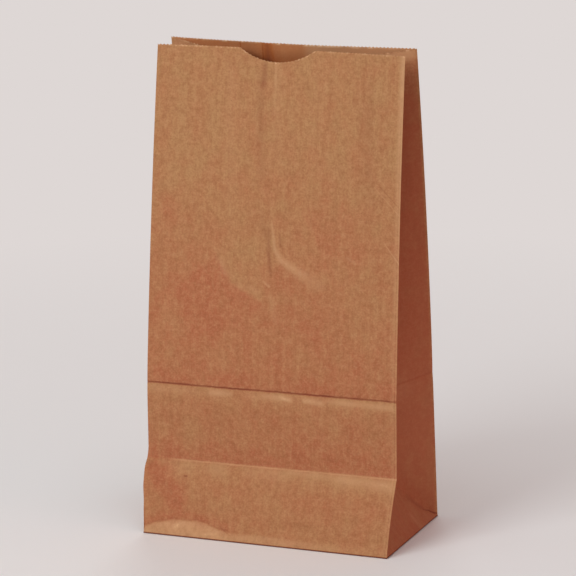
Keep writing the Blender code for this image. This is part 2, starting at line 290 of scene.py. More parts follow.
def from_path(x, s, path):
    """Distance from a drawn line, positive on its left, and the share of the way along it.

    Each straight stretch is measured by itself, and the nearest one counts.
    """
    knots = np.array(path) * MM
    lengths = np.linalg.norm(np.diff(knots, axis=0), axis=1)
    before = np.concatenate([[0.0], np.cumsum(lengths)])
    nearest = np.full(x.shape, np.inf)
    side = np.ones(x.shape)
    along = np.zeros(x.shape)
    for k, length in enumerate(lengths):
        way = (knots[k + 1] - knots[k]) / length
        dx, ds = x - knots[k, 0], s - knots[k, 1]
        reach = np.clip(dx * way[0] + ds * way[1], 0.0, length)
        distance = np.hypot(dx - reach * way[0], ds - reach * way[1])
        closer = distance < nearest
        nearest = np.where(closer, distance, nearest)
        side = np.where(closer, np.sign(way[0] * ds - way[1] * dx), side)
        along = np.where(closer, (before[k] + reach) / before[-1], along)
    return nearest * side, along


def tapered(along, full_from, full_to):
    """One on a line's middle stretch, with a soft rise from its start and a soft fall to its end."""
    return smooth_step(along, 0.0, full_from) * (1.0 - smooth_step(along, full_to, 1.0))


def slow_waves(u, s, wavelength, count, seed):
    """Soft unevenness of about one wavelength: a mean of sine waves that close up round the bag."""
    rng = np.random.default_rng(seed)
    total = np.zeros(u.shape)
    for _ in range(count):
        turn = rng.uniform(0.0, math.pi)
        length = wavelength * rng.uniform(0.7, 1.4)
        turns_round = round(math.cos(turn) * AROUND / length)
        rate_up = 2.0 * math.pi * math.sin(turn) / length
        lag = rng.uniform(0.0, 2.0 * math.pi)
        total += np.sin(2.0 * math.pi * turns_round * u / AROUND + rate_up * s + lag)
    return total / math.sqrt(count)


def press_line(distance, depth, above, below):
    """A pressed valley: deepest on the line, and fading as an exponential, above and below it."""
    return -depth * np.exp(-np.abs(distance) / np.where(distance > 0.0, above, below))


def knot_on_front(path):
    """Whether a drawn line starts on the front."""
    return abs(path[0][0]) * MM < HALF_WIDTH


def front_share(u, margin):
    """One on the front and nothing elsewhere, with a soft step of the margin's width inside each edge."""
    return smooth_step(u, 0.0, margin) * (1.0 - smooth_step(u, WIDTH - margin, WIDTH))


def near(value, centre, reach):
    """One at the centre and fading on both sides as a bell curve of the given reach."""
    return np.exp(-(((value - centre) / reach) ** 2))


def pleat_share(u):
    """One on the two side pleats and nothing on the front and the back, with a soft step past their folds."""
    from_middle = np.minimum(np.abs(u - WIDTH - GUSSET), np.abs(u - 2 * WIDTH - DEPTH - GUSSET))
    return 1.0 - smooth_step(from_middle, GUSSET - 2.6 * MM, GUSSET - 0.5 * MM)


def relief(u, s):
    """How far the paper stands out of its folded shape: folds, wrinkles and unevenness added up."""
    u = u % AROUND
    x = u - HALF_WIDTH
    front = front_share(u, 6 * MM)
    edge = np.abs(u[..., None] - PANEL_STARTS).min(axis=-1)
    waves = np.zeros(u.shape)
    for layer, (height, wavelength, count) in enumerate(WAVE_LAYERS):
        waves += height * MM * slow_waves(u, s, wavelength, count, WAVE_SEED + layer)
    out = smooth_step(edge, 0.0, 10 * MM) * np.where(pleat_share(u) > 0.0, np.abs(waves), waves)

    across = 0.25 + 0.75 * front
    uneven = 1.0 + 0.35 * slow_waves(u, 0.0 * s, 0.030, 5, FOLD_SEED)
    out += across * press_line(s - DEPTH, *UPPER_VALLEY) * uneven
    out += across * press_line(s - DEPTH, *UPPER_GROOVE)
    out += front * bulge(s, DEPTH - 24 * MM, DEPTH - 1 * MM, 0.35 * MM)
    low = smooth_step(x, -70 * MM, -58 * MM)
    out += front * low * press_line(s - GUSSET, *LOWER_VALLEY)
    out += front * low * 0.22 * MM * near(s, GUSSET - 1.6 * MM, 1.6 * MM) * uneven
    out -= front * bulge(s, 1 * MM, 15 * MM, 0.55 * MM) * smooth_step(x, -24 * MM, -6 * MM)
    out -= 0.35 * MM * near(u, SEAM_LINE, 1.6 * MM) * smooth_step(s, 200 * MM, 262 * MM)

    for path, height, left, right, _ in WRINKLES:
        distance, along = from_path(x, s, path)
        slope = np.where(distance > 0.0, left, right) * MM
        taper = tapered(along, 0.30, 0.60)
        soft = np.sqrt(distance ** 2 + (0.25 * slope) ** 2) - 0.25 * slope
        share = front_share(u, 2 * MM) if knot_on_front(path) else 1.0
        out += share * height * MM * taper * np.exp(-soft / slope)
    return out * smooth_step(s, 0.0, 2.5 * MM)


def wear_light_and_shade(u, s):
    """How much lighter or darker the paper is coloured, from -1, dark, to 1, light: painted light and shade
    along the folds, with some rubbing on crests.
    """
    u = u % AROUND
    x = u - HALF_WIDTH
    front = front_share(u, 1 * MM)
    uneven = 1.0 + 0.5 * slow_waves(u, 0.0 * s, 0.024, 6, RUB_SEED)
    # Painted shade: a dark line in the upper crosswise fold, off the front.
    total = -0.20 * (1.0 - front) * near(s, DEPTH + 0.1 * MM, 0.55 * MM)
    # Painted light: a lighter band under each crosswise fold on the front, where the paper faces up.
    total += 0.26 * front * near(s, DEPTH - 3.4 * MM, 2.6 * MM) * uneven
    low = smooth_step(x, -68 * MM, -58 * MM)
    total += 0.20 * front * low * near(s, GUSSET - 4.0 * MM, 4.0 * MM) * uneven
    # Painted highlight: a light lip just above the front's foot, right of the dent.
    total += 0.16 * front * near(s, 3.2 * MM, 1.5 * MM) * smooth_step(x, -22 * MM, -10 * MM)
    # Painted light: the pleats a little lighter low down.
    total += 0.09 * pleat_share(u) * near(s, 58 * MM, 34 * MM)

    # Painted light: a lit band along the top of the pleats, strong on the right one.
    side_rim_light = np.where(u < WIDTH + DEPTH, 0.90, 0.25) * pleat_share(u)
    total += side_rim_light * smooth_step(s, LENGTH - 9 * MM, LENGTH - 3 * MM)
    # Painted light: a lighter band on the right pleat's back half, just under the upper fold.
    right_back = (u > WIDTH + GUSSET) & (u < WIDTH + DEPTH)
    off_edge = smooth_step(WIDTH + DEPTH - u, 4 * MM, 30 * MM)
    total += 0.20 * right_back * near(s, DEPTH - 4 * MM, 8 * MM) * off_edge
    # Each wrinkle's crest lighter, partly rubbed paper and partly painted highlight; a negative value is painted
    # shade along a valley.
    for path, _, left, right, worn_lit_and_shaded in WRINKLES:
        distance, along = from_path(x, s, path)
        breadth = 0.55 * np.where(distance > 0.0, left, right) * MM
        taper = tapered(along, 0.25, 0.60)
        share = front if knot_on_front(path) else 1.0
        total += share * worn_lit_and_shaded * taper * near(distance, 0.0, breadth)
    return np.clip(total, -1.0, 1.0)


def inner_light_and_shade(u, s):
    """What the inner face adds to those lines, both painted: a painted shadow along the seam near the mouth and
    a painted lit band along the back's rim.
    """
    total = -0.80 * near(u, SEAM_LINE, 2.6 * MM) * smooth_step(s, 235 * MM, 262 * MM)
    rim_marks = WIDTH + DEPTH + np.array([-1, 0, 62, 66, 152, 153]) * MM
    rim = np.interp(u, rim_marks, [0.0, 1.0, 1.0, 0.3, 0.3, 0.0])
    return total + rim * smooth_step(s, LENGTH - 15 * MM, LENGTH - 5 * MM)


# Where the front is redder than its height alone makes it, partly pulp clouds and partly painted shade where the
# paper turns from the light, and below nothing less red: a patch's middle in millimetres from the front's middle
# and up the paper, its reach each way, and how much redder it is.
RED_AND_SHADED_PATCHES = (
    ((-44, 142), (22, 26), 0.38),
    ((36, 176), (16, 18), 0.30),
    ((-66, 186), (8, 14), 0.30),
    ((8, 150), (9, 7), 0.30),
    ((-66, 36), (7, 9), 0.55),
    ((-56, 21), (6, 10), 0.50),
    ((20, 128), (26, 12), 0.16),
    ((-16, 168), (14, 14), -0.28),
    ((52, 140), (12, 20), -0.18),
    ((-54, 216), (18, 22), -0.16),
    ((-50, 64), (24, 14), -0.22),
)


# How reddish each panel is by height: heights in millimetres up the paper, and the level at each of them.
# The front's red bands just above its two crosswise folds are painted shade where the paper faces down, the
# pleats' red and the back's red under its rim are painted shade, and the front is redder towards the bottom.
FRONT_TONE_AND_SHADE = ((0, 6, 30, 43, 45, 58, 76, 88, 89.5, 104, 140, 175, 230, 283),
              (0.20, 0.42, 0.46, 0.22, 1.00, 0.74, 0.60, 0.30, 1.00, 0.66, 0.54, 0.38, 0.22, 0.16))
BACK_TONE_AND_SHADE = ((0, 200, 255, 272, 280), (0.45, 0.55, 0.95, 0.85, 0.25))
PLEAT_SHADE_TONE = ((0, 40, 46, 240, 264, 277), (0.80, 0.85, 1.0, 1.0, 0.75, 0.35))


def tone_at(s, heights, levels):
    """How reddish the paper is at a height, painted shade included, on straight lines between the levels of a
    table.
    """
    return np.interp(s, np.array(heights) * MM, levels)


def red_tone_and_shade(u, s):
    """How reddish the paper is, from 0, yellowish, to 1, by height, by patch on the front and by panel: pulp
    tone with painted shade and light.
    """
    u = u % AROUND
    x = u - HALF_WIDTH
    tone = tone_at(s, *FRONT_TONE_AND_SHADE)
    for (patch_x, patch_s), (reach_x, reach_s), redder in RED_AND_SHADED_PATCHES:
        tone = tone + redder * near(x, patch_x * MM, reach_x * MM) * near(s, patch_s * MM, reach_s * MM)
    # Painted shade below the facet edge, redder, and painted light above it, less red.
    distance, along = from_path(x, s, FACET_EDGE)
    below = smooth_step(-distance, -0.8 * MM, 1.6 * MM) * np.exp(-np.abs(distance) / (16 * MM))
    above = smooth_step(distance, -0.8 * MM, 1.6 * MM) * np.exp(-np.abs(distance) / (9 * MM))
    tone += 0.34 * (below - above) * tapered(along, 0.2, 0.85)
    # Painted shade: redder in the corner valley and just above the dent's arched crease.
    distance, along = from_path(x, s, CORNER_VALLEY)
    tone += 0.75 * near(distance, 0.0, 4.2 * MM) * tapered(along, 0.15, 0.7)
    tone += 0.50 * near(s - dent_arch(x), 2.4 * MM, 3.0 * MM) * dent_share(x)
    # The back by its own table, and the pleats' painted shade over the rest.
    back = (u > WIDTH + DEPTH) & (u < 2 * WIDTH + DEPTH)
    tone = np.where(back, tone_at(s, *BACK_TONE_AND_SHADE), np.clip(tone, 0.0, 1.0))
    return tone + (tone_at(s, *PLEAT_SHADE_TONE) - tone) * pleat_share(u)


# The cut mouth.
# A toothed knife cuts each tube off, so the mouth's edge is a fine zigzag, and the same stroke takes the
# shallow thumb notch out of the front.

TOOTH_PITCH = 0.00212
TOOTH_DEPTH = 0.0006
NOTCH_WIDTH = 0.0460
NOTCH_DEPTH = 0.0075
NOTCH_OFFSET = -0.0028


def notch_depth(x):
    """Depth of the thumb notch: an arc of a circle through its ends and its lowest point."""
    half = NOTCH_WIDTH / 2
    radius = (half ** 2 + NOTCH_DEPTH ** 2) / (2 * NOTCH_DEPTH)
    across = np.clip(x - NOTCH_OFFSET, -half, half)
    return np.sqrt(radius ** 2 - across ** 2) - (radius - NOTCH_DEPTH)


def cut_height(u):
    """Height of the cut without its teeth: the paper's length, less the notch on the front."""
    return LENGTH - np.where(u <= WIDTH, notch_depth(u - HALF_WIDTH), 0.0)


def half_tooth(panel):
    """Half the pitch of the teeth, stretched a little so that a tip falls on each fold."""
    width = PANEL_WIDTHS[panel]
    return width / round(width / TOOTH_PITCH) / 2


def tooth_depth(panel, v):
    """Depth of the zigzag at v across a panel: nothing at a tip, a whole tooth at a root."""
    return TOOTH_DEPTH * np.abs((v / half_tooth(panel) + 1.0) % 2.0 - 1.0)


# The sheet's surface.
# The paper is drawn as a fine grid on the flat tube, closer at the folds, and carried to the opened bag.
# Its base is closed by two side flaps and a front and a back flap, as a bag machine folds them.

FOLD_MARKS = (0.00018, 0.00042, 0.00075, 0.0013)
TEETH_A_CELL = {FRONT: 0.5, BACK: 2}
SEAM_OFFSET = -0.0230
SEAM_LAP = 0.0140
BASE_LAP = 0.0140
MOUTH_BAND = 0.0014
BEND_BAND = 0.0300
ROW_NEAR = 0.0019
ROW_FAR = 0.0028
FAR_FROM = 0.2000
SLIVER = 0.0006
CUT_SEED = 21
CUT_WEAR = (0.0, 0.2, 0.3, 0.5, 0.9, 1.5)
SEAM, SIDE_FLAP, UNDER_FLAP, OUTER_FLAP = range(6, 10)
OUTER_FOLDS = np.array([0.0, WIDTH, WIDTH + DEPTH, 2 * WIDTH + DEPTH, AROUND])
THIN_REACH = 0.0030
THIN_LEAST = 0.10
THIN_LEVELS = 20
INSIDE_FADE = (2.0 * MM, 5.0 * MM)
# Heights over which the pleats' painted shade fades out under the mouth.
PLEAT_SHADE_FADE = (250 * MM, 276 * MM)
FAR_ABOVE = 9.0
SHEET_UNIT = 0.1
SHARP_FROM = 38.0


def with_fold_marks(marks):
    """Even marks with closer ones added beside the first and the last, and none crowding them."""
    close = np.concatenate([marks[0] + np.array(FOLD_MARKS), marks[-1] - np.array(FOLD_MARKS)])
    gaps = np.abs(marks[1:-1, None] - close[None, :]).min(axis=1)
    return np.sort(np.concatenate([marks[[0, -1]], marks[1:-1][gaps > SLIVER], close]))


def panel_marks(panel):
    """Where the grid's columns lie across a panel: tips or roots of teeth, the folds and the seam."""
    width = PANEL_WIDTHS[panel]
    cells = round(width / (2 * half_tooth(panel) * TEETH_A_CELL.get(panel, 1)))
    marks = with_fold_marks(np.linspace(0.0, width, cells + 1))
    if panel == BACK:
        seam = HALF_WIDTH - SEAM_OFFSET
        edges = np.array([seam - SEAM_LAP / 2, seam + SEAM_LAP / 2])
        gaps = np.abs(marks[:, None] - edges[None, :]).min(axis=1)
        marks = np.sort(np.concatenate([marks[gaps > SLIVER], edges]))
    return marks


def row_marks():
    """Where the rows lie up the paper: as the pleats' columns to the first fold, then nearly even."""
    low = panel_marks(RIGHT_FRONT)
    middle = with_fold_marks(np.linspace(GUSSET, DEPTH, round(GUSSET / ROW_NEAR) + 1))
    top = LENGTH - MOUTH_BAND
    upper = np.linspace(DEPTH, FAR_FROM, round((FAR_FROM - DEPTH) / ROW_NEAR) + 1)
    upper = np.concatenate([[DEPTH], DEPTH + np.array(FOLD_MARKS), upper[upper > DEPTH + ROW_NEAR]])
    far = np.linspace(FAR_FROM, top, round((top - FAR_FROM) / ROW_FAR) + 1)
    return np.concatenate([low, middle[1:], upper[1:], far[1:]])


def grid_places():
    """The grid's columns and rows as places on the tube, with rows near the mouth bent round the notch."""
    marks = [panel_marks(panel)[:-1] for panel in range(6)]
    column_u = np.concatenate([PANEL_STARTS[panel] + marks[panel] for panel in range(6)])
    column_panel = np.repeat(range(6), [len(m) for m in marks])
    rows = row_marks()
    bend = rows[-1] - BEND_BAND
    stretch = (cut_height(column_u) - MOUTH_BAND - bend) / BEND_BAND
    s = np.where(rows > bend, bend + (rows - bend) * stretch[:, None], rows)
    return column_u, column_panel, s


def paper_points(u, s):
    """The finished place of the paper: the rounded bag moved out by the relief."""
    return rounded_point(u, s) + outward(u, s) * relief(u, s)[..., None]


def mouth_faces(column_u, column_panel, rows, first):
    """The band under the cut edge: one face to a column, with a corner at every tooth."""
    count = len(column_u)
    depths = np.concatenate(
        [tooth_depth(p, column_u[column_panel == p] - PANEL_STARTS[p]) for p in range(6)]
    )
    places = [np.stack([column_u, cut_height(column_u) - depths], axis=-1)]
    faces = []
    total = first + count
    for column in range(count):
        panel = column_panel[column]
        following = (column + 1) % count
        left = column_u[column] - PANEL_STARTS[panel]
        right = (column_u[following] if following else AROUND) - PANEL_STARTS[panel]
        half = half_tooth(panel)
        slack = 1e-6
        v = half * np.arange(math.floor(left / half + slack) + 1, math.ceil(right / half - slack))
        u = v + PANEL_STARTS[panel]
        places.append(np.stack([u, cut_height(u) - tooth_depth(panel, v)], axis=-1))
        edge = range(total + len(u) - 1, total - 1, -1)
        foot = (column * rows + rows - 1, following * rows + rows - 1)
        faces.append((*foot, first + following, *edge, first + column))
        total += len(u)
    return np.concatenate(places), faces


def grid_faces(column_panel, rows, square):
    """The grid's faces and the columns that they are in: squares, and triangles on the pleats' diagonals."""
    count = len(column_panel)
    column, row = np.meshgrid(np.arange(count), np.arange(rows - 1), indexing="ij")
    here, beside = column * rows + row, (column + 1) % count * rows + row
    quads = np.stack([here, beside, beside + 1, here + 1], axis=-1).reshape(-1, 4)
    column, row = column.ravel(), row.ravel()
    starts = np.array([np.argmax(column_panel == panel) for panel in range(6)])
    panel = column_panel[column]
    step = column - starts[panel]
    rising = np.isin(panel, (RIGHT_FRONT, LEFT_BACK)) & (row == step) & (row < square)
    falling = np.isin(panel, (RIGHT_BACK, LEFT_FRONT)) & (row == square - 1 - step) & (row < square)
    plain = ~(rising | falling)
    faces = quads[plain].tolist()
    faces += quads[rising][:, [0, 1, 2]].tolist() + quads[rising][:, [0, 2, 3]].tolist()
    faces += quads[falling][:, [0, 1, 3]].tolist() + quads[falling][:, [1, 2, 3]].tolist()
    columns = [column[plain], column[rising], column[rising], column[falling], column[falling]]
    return faces, np.concatenate(columns)


def base_faces(column_panel, rows, first):
    """The four flaps of the base: triangles at the sides, and slanted front and back flaps that meet."""
    count = len(column_panel)
    ring = [column * rows for column in range(count)] + [0]
    starts = [int(np.argmax(column_panel == panel)) for panel in range(6)] + [count]
    feet = [ring[starts[panel]:starts[panel + 1] + 1] for panel in range(6)]
    reach, slant = HALF_WIDTH - GUSSET, BASE_LAP / 2
    knots = np.array([[reach, 0.0], [reach - slant, -slant], [slant - reach, -slant], [-reach, 0.0]])
    points = np.column_stack([knots, np.full(4, BASE_Z)])
    names = [first, first + 1, first + 2, first + 3]
    right = feet[RIGHT_FRONT] + feet[RIGHT_BACK][1:]
    left = feet[LEFT_BACK] + feet[LEFT_FRONT][1:]
    faces = [
        (*right[::-1], names[0]),
        (*left[::-1], names[-1]),
        (*feet[FRONT][::-1], *names[::-1]),
        (*feet[BACK][::-1], *names),
    ]
    return points, faces


def add_sheet_map(mesh, place_u, place_s, wall_faces):
    """Write the flat sheet's u and s, in tenths of a metre, as the UV map that the paper's grain follows."""
    loops = np.empty(len(mesh.loops), dtype=np.int32)
    mesh.loops.foreach_get("vertex_index", loops)
    totals = np.empty(len(mesh.polygons), dtype=np.int32)
    mesh.polygons.foreach_get("loop_total", totals)
    starts = np.concatenate([[0], np.cumsum(totals)[:-1]])
    u, s = place_u[loops], place_s[loops]
    span = np.maximum.reduceat(u, starts) - np.minimum.reduceat(u, starts)
    wraps = np.repeat(span > HALF_WIDTH, totals) & (u < HALF_WIDTH)
    wraps &= np.repeat(np.arange(len(totals)) < wall_faces, totals)
    u = np.where(wraps, u + AROUND, u)
    layer = mesh.uv_layers.new(name="sheet")
    layer.data.foreach_set("uv", (np.stack([u, s], axis=-1) / SHEET_UNIT).ravel())


def add_looks(mesh, place_u, place_s, cut):
    """Write at each point its lines of rubbing with painted light and shade on both faces, its redness with
    painted shade, the pleats' painted shade, its height above the dent and its way from a fold.
    """
    u = place_u % AROUND
    on_base = place_s < 0.0
    worn_lit_and_shaded = np.where(on_base, 0.0, wear_light_and_shade(place_u, place_s))
    worn_lit_and_shaded[cut] = np.random.default_rng(CUT_SEED).choice(CUT_WEAR, cut.stop - cut.start)
    off_front = on_base | (place_u > WIDTH)
    values = {
        "wear_light_and_shade": worn_lit_and_shaded,
        "red_tone_and_shade": np.where(on_base, 0.5, red_tone_and_shade(place_u, place_s)),
        # Painted shade: the pleats' share, fading under the mouth.
        "pleat_shade": np.where(on_base, 0.0, pleat_share(u) * (1.0 - smooth_step(place_s, *PLEAT_SHADE_FADE))),
        "above_dent": np.where(off_front, FAR_ABOVE, (place_s - dent_arch(u - HALF_WIDTH)) / MM),
        "inner_light_and_shade": np.where(on_base, 0.0, inner_light_and_shade(u, place_s)),
        "from_fold": np.where(on_base, HALF_WIDTH, np.abs(u[:, None] - OUTER_FOLDS).min(axis=1)),
    }
    for name, value in values.items():
        mesh.attributes.new(name, "FLOAT", "POINT").data.foreach_set("value", value)


def sheet_mesh():
    """The whole folded sheet as one open surface, with its patches, its looks and its flat map."""
    column_u, column_panel, s = grid_places()
    count, rows = s.shape
    u = np.repeat(column_u[:, None], rows, axis=1)
    grid = paper_points(u.ravel(), s.ravel())
    edge_places, edge_faces = mouth_faces(column_u, column_panel, rows, count * rows)
    edge = paper_points(edge_places[:, 0], edge_places[:, 1])
    faces, columns = grid_faces(column_panel, rows, len(panel_marks(RIGHT_FRONT)) - 1)
    knots, flaps = base_faces(column_panel, rows, len(grid) + len(edge))

    middle = (column_u + np.append(column_u[1:], AROUND)) / 2 - PANEL_STARTS[BACK]
    seamed = (column_panel == BACK) & (np.abs(middle - HALF_WIDTH + SEAM_OFFSET) < SEAM_LAP / 2)
    column_patch = np.where(seamed, SEAM, column_panel)
    flap_patch = [SIDE_FLAP, SIDE_FLAP, UNDER_FLAP, OUTER_FLAP]
    patches = np.concatenate([column_patch[columns], column_patch, flap_patch])

    place_u = np.concatenate([u.ravel(), edge_places[:, 0], knots[:, 0] + HALF_WIDTH])
    place_s = np.concatenate([s.ravel(), edge_places[:, 1], -GUSSET - knots[:, 1]])
    mesh = bpy.data.meshes.new("folded_sheet")
    mesh.from_pydata(np.concatenate([grid, edge, knots]).tolist(), [], faces + edge_faces + flaps)
    add_sheet_map(mesh, place_u, place_s, len(faces) + len(edge_faces))
    mesh.attributes.new("patch", "INT", "FACE").data.foreach_set("value", patches.astype(np.int32))
    add_looks(mesh, place_u, place_s, slice(len(grid), len(grid) + len(edge)))
    return mesh


def read_back(mesh, name):
    """One of a mesh's values, at every point."""
    values = np.empty(len(mesh.vertices), dtype=np.float32)
    mesh.attributes[name].data.foreach_get("value", values)
    return values


def with_thickness(sheet):
    """Give the surface the paper's thickness on its inside, and return the solid mesh.

    The wall thins in steps towards the four outer folds, where the two papers of a fold nearly touch.
    """
    body = bpy.data.objects.new("folded_sheet", sheet)
    bpy.context.scene.collection.objects.link(body)
    from_fold = read_back(sheet, "from_fold")
    levels = np.ceil(np.clip(from_fold / THIN_REACH, THIN_LEAST, 1.0) * THIN_LEVELS)
    group = body.vertex_groups.new(name="wall")
    for level in np.unique(levels):
        group.add(np.flatnonzero(levels == level).tolist(), level / THIN_LEVELS, "REPLACE")
    wall = body.modifiers.new("paper", "SOLIDIFY")
    wall.thickness = PAPER
    wall.offset = -1.0
    wall.vertex_group = group.name
    bpy.context.view_layer.update()
    solid = bpy.data.meshes.new_from_object(body.evaluated_get(bpy.context.evaluated_depsgraph_get()))
    # The inner face's share away from the folds, which carries the painted shade inside the bag and the inner
    # face's painted light and shade lines.
    inside = smooth_step(read_back(solid, "from_fold"), *INSIDE_FADE)
    inside[:len(sheet.vertices)] = 0.0
    solid.attributes.new("inside", "FLOAT", "POINT").data.foreach_set("value", inside)
    bpy.data.objects.remove(body, do_unlink=True)
    return solid


def raised(bm, faces, move):
    """Raise a group of faces by one paper, with a wall all round it."""
    made = bmesh.ops.extrude_face_region(bm, geom=faces)["geom"]
    bmesh.ops.delete(bm, geom=faces, context="FACES")
    verts = [part for part in made if isinstance(part, bmesh.types.BMVert)]
    bmesh.ops.translate(bm, verts=verts, vec=move)
    return [part for part in made if isinstance(part, bmesh.types.BMFace)]


def add_laps(solid):
    """Add the papers that lie over others: the glued seam down the back and the base's two big flaps."""
    bm = bmesh.new()
    bm.from_mesh(solid)
    bm.normal_update()
    layer = bm.faces.layers.int["patch"]
    seam = [face for face in bm.faces if face[layer] == SEAM and face.normal.y > abs(face.normal.z)]
    raised(bm, seam, (0.0, PAPER, 0.0))
    down = [face for face in bm.faces if -face.normal.z > abs(face.normal.y)]
    flaps = [face for face in down if face[layer] in (UNDER_FLAP, OUTER_FLAP)]
    lowered = raised(bm, flaps, (0.0, 0.0, -PAPER))
    raised(bm, [face for face in lowered if face[layer] == OUTER_FLAP], (0.0, 0.0, -PAPER))
    bmesh.ops.recalc_face_normals(bm, faces=bm.faces)
    bm.to_mesh(solid)
    bm.free()


bag_mesh = with_thickness(sheet_mesh())
add_laps(bag_mesh)
bag_mesh.shade_smooth()
bag_mesh.set_sharp_from_angle(angle=math.radians(SHARP_FROM))
bag = bpy.data.objects.new("kraft_bag", bag_mesh)
bpy.context.scene.collection.objects.link(bag)


# Kraft paper.
# Unbleached pulp gives a brown that clouds from yellowish to reddish, with short fibres that lie mostly
# along the web, a few dark flecks and a matt, slightly uneven surface. Light and shade are also painted
# into its colour: redder and darker in folds, valleys, the pleats and the inside, lighter where it faces the
# light.


def ink(red, green, blue):
    """A colour given as it looks on screen, from 0 to 255, turned into the light that shaders count in."""
    levels = np.array([red, green, blue]) / 255.0
    linear = np.where(levels <= 0.04045, levels / 12.92, ((levels + 0.055) / 1.055) ** 2.4)
    return (*linear.tolist(), 1.0)


def feed(tree, socket, value):
    """Link a node's output to a socket, or set the socket to a plain value."""
    if isinstance(value, bpy.types.NodeSocket):
        tree.links.new(value, socket)
    else:
        socket.default_value = value


def add_node(tree, kind, **values):
    """Add a node, set its plain properties, and set or link its inputs by name."""
    node = tree.nodes.new(kind)
    inputs = values.pop("inputs", {})
    for name, value in values.items():
        setattr(node, name, value)
    for name, value in inputs.items():
        feed(tree, node.inputs[name], value)
    return node


def point_value(tree, name):
    """The value of that name which the mesh holds at each point."""
    return add_node(tree, "ShaderNodeAttribute", attribute_name=name).outputs["Fac"]


def blended(tree, factor, first, second):
    """Mix two colours by a factor, with either as a colour or as a node's output."""
    node = add_node(tree, "ShaderNodeMix", data_type="RGBA")
    feed(tree, node.inputs[0], factor)
    feed(tree, node.inputs[6], first)
    feed(tree, node.inputs[7], second)
    return node.outputs[2]


def spread(tree, value, low, high, to_low=0.0, to_high=1.0):
    """Stretch the stretch of values between low and high over another range, and hold it there."""
    inputs = {"Value": value, "From Min": low, "From Max": high, "To Min": to_low, "To Max": to_high}
    return add_node(tree, "ShaderNodeMapRange", inputs=inputs).outputs["Result"]


def clouds(tree, place, size, stretch, detail, roughness, shift):
    """Noise on the flat sheet with features of about the given size in metres, stretched each way."""
    scale = SHEET_UNIT / size
    scales = (scale / stretch[0], scale / stretch[1], 1.0)
    moves = {"Vector": place, "Scale": scales, "Location": (shift,) * 3}
    moved = add_node(tree, "ShaderNodeMapping", inputs=moves).outputs["Vector"]
    settings = {"Vector": moved, "Scale": 1.0, "Detail": detail, "Roughness": roughness}
    return add_node(tree, "ShaderNodeTexNoise", inputs=settings).outputs["Fac"]


def maths(tree, operation, first, second):
    """One maths node on two values, each a number or a node's output."""
    node = add_node(tree, "ShaderNodeMath", operation=operation)
    feed(tree, node.inputs[0], first)
    feed(tree, node.inputs[1], second)
    return node.outputs[0]


def product(tree, first, *others):
    """Several values multiplied together, each a number or a node's output."""
    for other in others:
        first = maths(tree, "MULTIPLY", first, other)
    return first


def soft_fall(tree, away, reach):
    """One where a distance is nothing, and a smooth fall to nothing at the reach."""
    inputs = {"Value": away, "From Min": reach, "From Max": 0.0}
    fall = add_node(tree, "ShaderNodeMapRange", interpolation_type="SMOOTHSTEP", inputs=inputs)
    return fall.outputs["Result"]


def soft_line(tree, value, centre, reach):
    """One where a value is at the centre, and a smooth fall to nothing at the reach on both sides."""
    away = maths(tree, "ABSOLUTE", maths(tree, "SUBTRACT", value, centre), 0.0)
    return soft_fall(tree, away, reach)


def stroke_group():
    """A node group for one short mark: full on a straight stretch, and fading over a reach beside it.

    The share along is the place's offset from the start, dotted with the stretch, over the stretch's square.
    The reach changes evenly along the stretch.
    """
    group = bpy.data.node_groups.new("stroke", "ShaderNodeTree")
    for name in ("Place", "Start", "End"):
        group.interface.new_socket(name, in_out="INPUT", socket_type="NodeSocketVector")
    for name in ("Start Reach", "End Reach", "Strength"):
        group.interface.new_socket(name, in_out="INPUT", socket_type="NodeSocketFloat")
    group.interface.new_socket("Amount", in_out="OUTPUT", socket_type="NodeSocketFloat")
    given = group.nodes.new("NodeGroupInput").outputs
    result = group.nodes.new("NodeGroupOutput").inputs["Amount"]

    def vectors(operation, first, second, output="Vector"):
        """One vector maths node on two vectors."""
        node = add_node(group, "ShaderNodeVectorMath", operation=operation)
        group.links.new(first, node.inputs[0])
        group.links.new(second, node.inputs[1])
        return node.outputs[output]

    way = vectors("SUBTRACT", given["End"], given["Start"])
    offset = vectors("SUBTRACT", given["Place"], given["Start"])
    share = maths(group, "DIVIDE", vectors("DOT_PRODUCT", offset, way, "Value"),
                   vectors("DOT_PRODUCT", way, way, "Value"))
    share = spread(group, share, 0.0, 1.0)
    along = add_node(group, "ShaderNodeVectorMath", operation="SCALE", inputs={"Vector": way, "Scale": share})
    distance = vectors("DISTANCE", offset, along.outputs["Vector"], "Value")
    widening = maths(group, "SUBTRACT", given["End Reach"], given["Start Reach"])
    reach = maths(group, "ADD", given["Start Reach"], maths(group, "MULTIPLY", widening, share))
    mask = soft_fall(group, maths(group, "DIVIDE", distance, reach), 1.0)
    group.links.new(product(group, mask, given["Strength"]), result)
    return group
